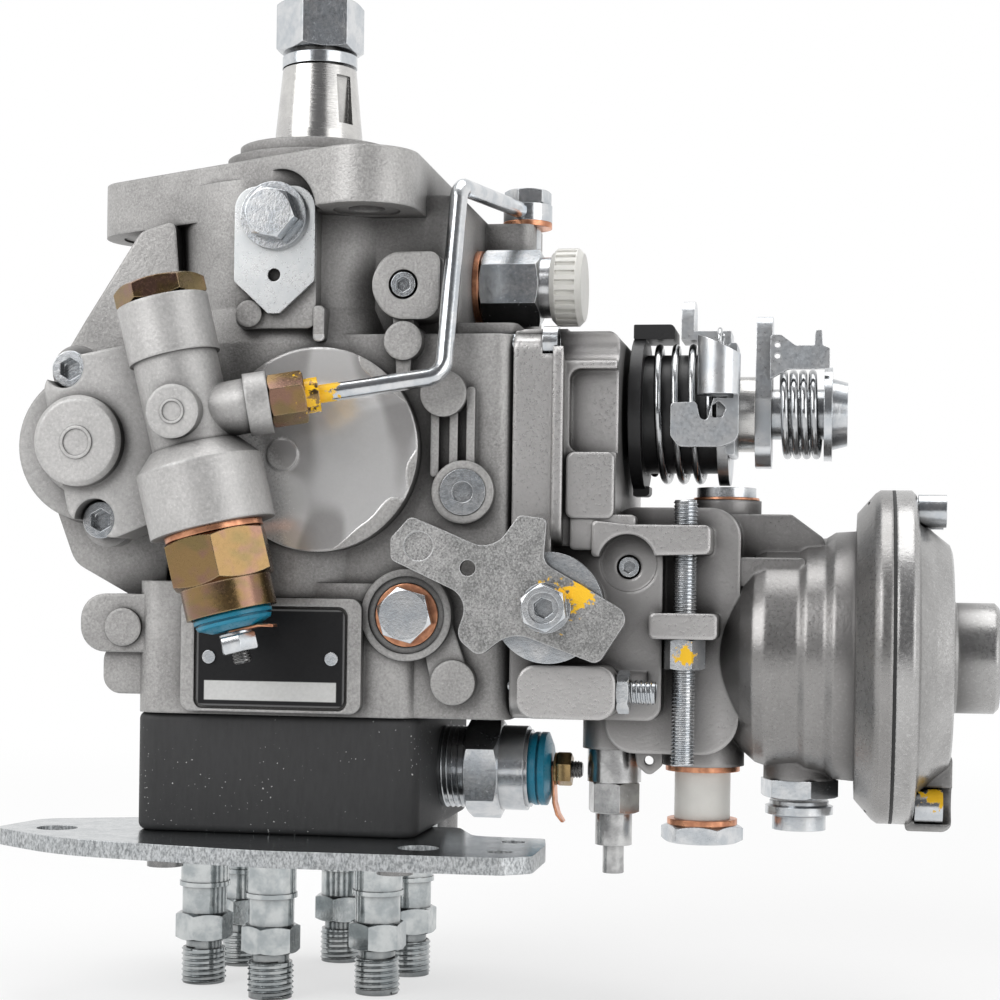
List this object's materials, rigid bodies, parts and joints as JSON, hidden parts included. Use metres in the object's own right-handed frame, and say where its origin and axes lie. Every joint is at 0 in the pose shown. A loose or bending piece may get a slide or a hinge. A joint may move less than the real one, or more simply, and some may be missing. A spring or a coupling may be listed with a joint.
{
  "type": "diesel injection pump",
  "caption": "Distributor diesel injection pump with flange drive, governor cover, boost compensator, cold start valve, stop solenoid, levers and threaded outlets below.",
  "frame": {"origin": "centre of the pilot at the mounting face of the flange", "axes": "+Z along the drive shaft towards its nut, +X towards the governor cover and boost compensator, -Y towards the side with the bare name plate"},
  "size_m": [0.271, 0.134, 0.2818],
  "materials": {
    "cast_aluminium": "sand cast, dull and slightly rough",
    "cover_aluminium": "die cast, dull grey with a green tinge",
    "timing_casting": "cast, dull",
    "dark_steel": "machined and blackened",
    "bright_steel": "ground and oiled",
    "zinc_steel": "zinc plated",
    "yellow_zinc": "yellow passivated zinc",
    "spring_steel": "bright drawn spring wire",
    "grey_steel": "phosphated, dark grey",
    "black_paint": "black, bare of any marking",
    "copper": "soft copper",
    "bronze": "plain bearing bronze",
    "black_rubber": "matt black",
    "black_plastic": "matt black",
    "white_plastic": "matt off-white",
    "blue_plastic": "greenish blue"
  },
  "bodies": {
    "housing": {"pump_housing": "cast_aluminium", "governor_cover": "cover_aluminium", "timing_cover": "timing_casting", "timing_end_cover": "timing_casting", "cover_screws": "zinc_steel", "yellow_fittings": "yellow_zinc", "cold_start_solenoid": "yellow_zinc", "terminal_insulators": "blue_plastic", "terminals": "zinc_steel", "bypass_pipe": "zinc_steel", "plugs": "zinc_steel", "inlet_fitting": "zinc_steel", "inlet_cap": "white_plastic", "copper_washers": "copper", "shaft_lock_screw": "zinc_steel", "shaft_lock_plate": "zinc_steel", "name_plate": "black_paint", "distributor_head": "dark_steel", "head_screws": "grey_steel", "delivery_valves": "zinc_steel", "rear_bracket": "zinc_steel", "stop_solenoid": "zinc_steel", "adjusting_screws": "zinc_steel", "full_load_screw": "grey_steel", "return_bolt": "zinc_steel", "return_sleeve": "white_plastic", "boost_nipple": "zinc_steel", "boost_cover": "cast_aluminium", "boost_diaphragm": "black_rubber", "spring_bush": "black_plastic", "return_springs": "spring_steel", "shaft_seal": "black_rubber", "shaft_bush": "bronze", "vane_pump_ring": "bright_steel", "governor_pins": "bright_steel", "plunger_springs": "spring_steel", "boost_spring": "spring_steel", "timing_spring": "spring_steel"},
    "drive": {"drive_shaft": "bright_steel", "shaft_nut": "zinc_steel", "vane_rotor": "bright_steel", "drive_gear": "bright_steel", "cam_plate": "bright_steel", "plunger": "bright_steel"},
    "governor": {"flyweight_cage": "bright_steel", "flyweights": "bright_steel"},
    "sleeve": {"governor_sleeve": "bright_steel"},
    "lever": {"governor_lever": "bright_steel"},
    "control": {"control_sleeve": "bright_steel"},
    "timing": {"timing_piston": "bright_steel"},
    "rollers": {"roller_ring": "bright_steel"},
    "throttle": {"throttle_shaft": "bright_steel", "throttle_levers": "zinc_steel", "spring_carrier": "zinc_steel", "torsion_spring": "spring_steel", "end_cap": "bright_steel"},
    "stop": {"stop_lever": "grey_steel", "stop_lever_shaft": "zinc_steel"},
    "boost": {"boost_pin": "bright_steel"},
    "fuel_stop": {"stop_plunger": "bright_steel"}
  },
  "joints": [
    {"name": "drive_shaft_spin", "type": "hinge", "parent": "housing", "child": "drive", "pos_m": [0, 0, 0], "axis": [0, 0, 1], "continuous": true},
    {"name": "governor_spin", "type": "hinge", "parent": "housing", "child": "governor", "pos_m": [0.0525, 0, -0.06], "axis": [0, 0, 1], "continuous": true},
    {"name": "governor_sleeve_slide", "type": "slide", "parent": "housing", "child": "sleeve", "axis": [0, 0, -1], "range_m": [0, 0.0023]},
    {"name": "governor_lever_hinge", "type": "hinge", "parent": "housing", "child": "lever", "pos_m": [0.034, 0, -0.114], "axis": [0, 1, 0], "range_deg": [0, 7.5]},
    {"name": "control_sleeve_slide", "type": "slide", "parent": "housing", "child": "control", "axis": [0, 0, 1], "range_m": [0, 0.0031]},
    {"name": "timing_piston_slide", "type": "slide", "parent": "housing", "child": "timing", "axis": [0, 1, 0], "range_m": [0, 0.006], "stiffness_N_per_m": 2000, "springref_m": -0.004, "deforming": ["timing_spring"]},
    {"name": "roller_ring_turn", "type": "hinge", "parent": "housing", "child": "rollers", "pos_m": [0, 0, -0.0785], "axis": [0, 0, -1], "range_deg": [0, 7.2]},
    {"name": "throttle_turn", "type": "hinge", "parent": "housing", "child": "throttle", "pos_m": [0.1, 0, -0.066], "axis": [1, 0, 0], "range_deg": [-20, 30], "stiffness_Nm_per_rad": 0.1, "springref_deg": -34.38},
    {"name": "stop_lever_turn", "type": "hinge", "parent": "housing", "child": "stop", "pos_m": [0.0758, -0.045, -0.1205], "axis": [0, 1, 0], "range_deg": [0, 30], "stiffness_Nm_per_rad": 0.08, "springref_deg": -28.65},
    {"name": "boost_pin_slide", "type": "slide", "parent": "housing", "child": "boost", "axis": [-1, 0, 0], "range_m": [0, 0.004], "stiffness_N_per_m": 3000, "springref_m": -0.004, "deforming": ["boost_spring"]},
    {"name": "fuel_stop_slide", "type": "slide", "parent": "housing", "child": "fuel_stop", "axis": [1, 0, 0], "range_m": [0, 0.0015], "stiffness_N_per_m": 2000, "springref_m": -0.003}
  ],
  "couplings": [
    {"joint": "governor_spin", "follows": "drive_shaft_spin", "ratio": -1.5926},
    {"joint": "governor_lever_hinge", "follows": "governor_sleeve_slide", "rad_per_m": 55.556},
    {"joint": "control_sleeve_slide", "follows": "governor_sleeve_slide", "ratio": 1.3111},
    {"joint": "roller_ring_turn", "follows": "timing_piston_slide", "rad_per_m": 20.202}
  ]
}
